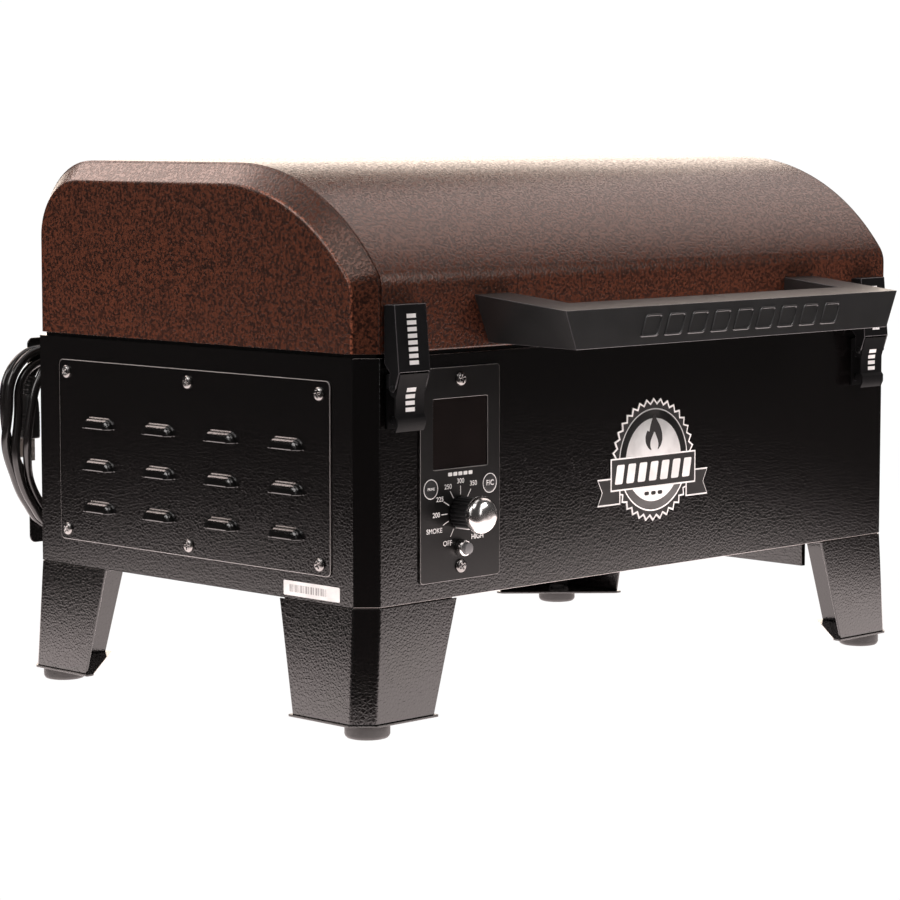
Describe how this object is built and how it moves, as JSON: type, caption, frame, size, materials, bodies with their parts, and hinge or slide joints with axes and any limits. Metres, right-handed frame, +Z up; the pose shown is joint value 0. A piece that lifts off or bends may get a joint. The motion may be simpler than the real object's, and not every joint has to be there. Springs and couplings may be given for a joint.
{
  "type": "pellet smoker grill",
  "caption": "Table-top pellet smoker grill with a domed hinged lid, draw latches, control panel, louvred end cover and wound mains lead, on sheet-metal legs.",
  "frame": {"origin": "centre of the object's footprint, on the surface that the rubber feet rest on; the wound mains lead and its plug are left out of that footprint", "axes": "+X to the right as seen from the control side, +Y from the control side to the back, +Z up"},
  "size_m": [0.716, 0.5842, 0.4707],
  "materials": {
    "cabinet_coat": "black textured powder coat with a fine leathery grain",
    "lid_coat": "dark copper hammertone powder coat",
    "handle_black": "satin black moulding",
    "control_black": "smooth satin black with white print",
    "window_gloss": "gloss dark display window",
    "chrome": "polished",
    "knob_black": "satin black",
    "button_grey": "satin grey",
    "key_black": "satin black membrane",
    "latch_black": "satin black with white marks",
    "foot_rubber": "matt black",
    "cord_jacket": "satin black flexible jacket",
    "plug_black": "satin black moulded plug",
    "blade_metal": "plain metal",
    "bare_steel": "stainless, brushed",
    "galvanised": "galvanised sheet",
    "heat_black": "high-temperature black",
    "hinge_black": "semi-gloss black",
    "motor_grey": "grey",
    "circuit_green": "circuit board",
    "badge_print": "white and black print"
  },
  "bodies": {
    "cabinet": {"front_panel": "cabinet_coat", "rear_panel": "cabinet_coat", "left_end_panel": "cabinet_coat", "right_end_panel": "cabinet_coat", "floor_pan": "cabinet_coat", "chamber_rim": "cabinet_coat", "hopper_partition": "galvanised", "hopper_deck": "galvanised", "hopper_bin": "galvanised", "auger_tube": "bare_steel", "auger_motor": "motor_grey", "blower_housing": "motor_grey", "burn_pot": "heat_black", "igniter_rod": "bare_steel", "heat_deflector": "heat_black", "grate_rails": "galvanised", "temperature_probe": "bare_steel", "control_board": "circuit_green", "control_faceplate": "control_black", "display_window": "window_gloss", "faceplate_screws": "chrome", "vent_cover": "cabinet_coat", "vent_screws": "chrome", "leg_front_left": "cabinet_coat", "leg_front_right": "cabinet_coat", "leg_rear_left": "cabinet_coat", "leg_rear_right": "cabinet_coat", "rubber_feet": "foot_rubber", "badge": "badge_print", "cord_cleats": "cabinet_coat", "cord_gland": "plug_black", "cord_lead": "cord_jacket", "cord_hank": "cord_jacket", "cord_tail": "cord_jacket", "plug_body": "plug_black", "plug_blades": "blade_metal", "latch_bases": "latch_black", "hinge_body_leaves": "hinge_black"},
    "lid": {"lid_shell": "lid_coat", "lid_end_left": "lid_coat", "lid_end_right": "lid_coat", "handle": "handle_black", "handle_screws": "chrome", "hinge_lid_leaves": "hinge_black", "latch_keepers": "latch_black"},
    "lever_left": {"latch_lever_left": "latch_black"},
    "lever_right": {"latch_lever_right": "latch_black"},
    "catch_left": {"latch_arm_left": "latch_black"},
    "catch_right": {"latch_arm_right": "latch_black"},
    "dial": {"dial_skirt": "knob_black", "dial_cap": "chrome"},
    "prime_key": {"prime_button": "key_black"},
    "unit_key": {"unit_button": "key_black"},
    "power_key": {"power_button": "button_grey"},
    "auger": {"auger_screw": "bare_steel"},
    "fan": {"blower_impeller": "motor_grey"},
    "hopper_door": {"hopper_lid": "galvanised"},
    "broiler_cover": {"broiler_slider": "heat_black"},
    "grate": {"cooking_grate": "bare_steel"},
    "grease_drawer": {"grease_tray": "cabinet_coat"}
  },
  "joints": [
    {"name": "lid_hinge", "type": "hinge", "parent": "cabinet", "child": "lid", "pos_m": [0, 0.2551, 0.3157], "axis": [-1, 0, 0], "range_deg": [0, 90]},
    {"name": "latch_left", "type": "hinge", "parent": "cabinet", "child": "lever_left", "pos_m": [-0.313, -0.1969, 0.297], "axis": [-1, 0, 0], "range_deg": [0, 75]},
    {"name": "latch_right", "type": "hinge", "parent": "cabinet", "child": "lever_right", "pos_m": [0.3005, -0.1969, 0.297], "axis": [-1, 0, 0], "range_deg": [0, 75]},
    {"name": "catch_left_link", "type": "hinge", "parent": "lever_left", "child": "catch_left", "pos_m": [-0.313, -0.2024, 0.29], "axis": [-1, 0, 0], "range_deg": [-75, 0]},
    {"name": "catch_right_link", "type": "hinge", "parent": "lever_right", "child": "catch_right", "pos_m": [0.3005, -0.2024, 0.29], "axis": [-1, 0, 0], "range_deg": [-75, 0]},
    {"name": "dial_turn", "type": "hinge", "parent": "cabinet", "child": "dial", "pos_m": [-0.243, -0.2009, 0.1807], "axis": [0, 1, 0], "range_deg": [0, 300]},
    {"name": "prime_press", "type": "slide", "parent": "cabinet", "child": "prime_key", "axis": [0, 1, 0], "range_m": [0, 0.0006], "stiffness_N_per_m": 600},
    {"name": "unit_press", "type": "slide", "parent": "cabinet", "child": "unit_key", "axis": [0, 1, 0], "range_m": [0, 0.0006], "stiffness_N_per_m": 600},
    {"name": "power_press", "type": "slide", "parent": "cabinet", "child": "power_key", "axis": [0, 1, 0], "range_m": [0, 0.002], "stiffness_N_per_m": 300},
    {"name": "auger_spin", "type": "hinge", "parent": "cabinet", "child": "auger", "pos_m": [-0.1, 0.0391, 0.152], "axis": [1, 0, 0], "continuous": true},
    {"name": "fan_spin", "type": "hinge", "parent": "cabinet", "child": "fan", "pos_m": [-0.31, -0.0809, 0.202], "axis": [1, 0, 0], "continuous": true},
    {"name": "hopper_lid_hinge", "type": "hinge", "parent": "cabinet", "child": "hopper_door", "pos_m": [-0.225, 0.1151, 0.311], "axis": [-1, 0, 0], "range_deg": [0, 90]},
    {"name": "broiler_slide", "type": "slide", "parent": "cabinet", "child": "broiler_cover", "axis": [1, 0, 0], "range_m": [0, 0.05]},
    {"name": "grate_lift", "type": "slide", "parent": "cabinet", "child": "grate", "axis": [0, 0, 1], "range_m": [0, 0.06]},
    {"name": "grease_tray_slide", "type": "slide", "parent": "cabinet", "child": "grease_drawer", "axis": [0, 1, 0], "range_m": [0, 0.09]}
  ],
  "couplings": [
    {"joint": "catch_left_link", "follows": "latch_left", "ratio": -1},
    {"joint": "catch_right_link", "follows": "latch_right", "ratio": -1}
  ]
}
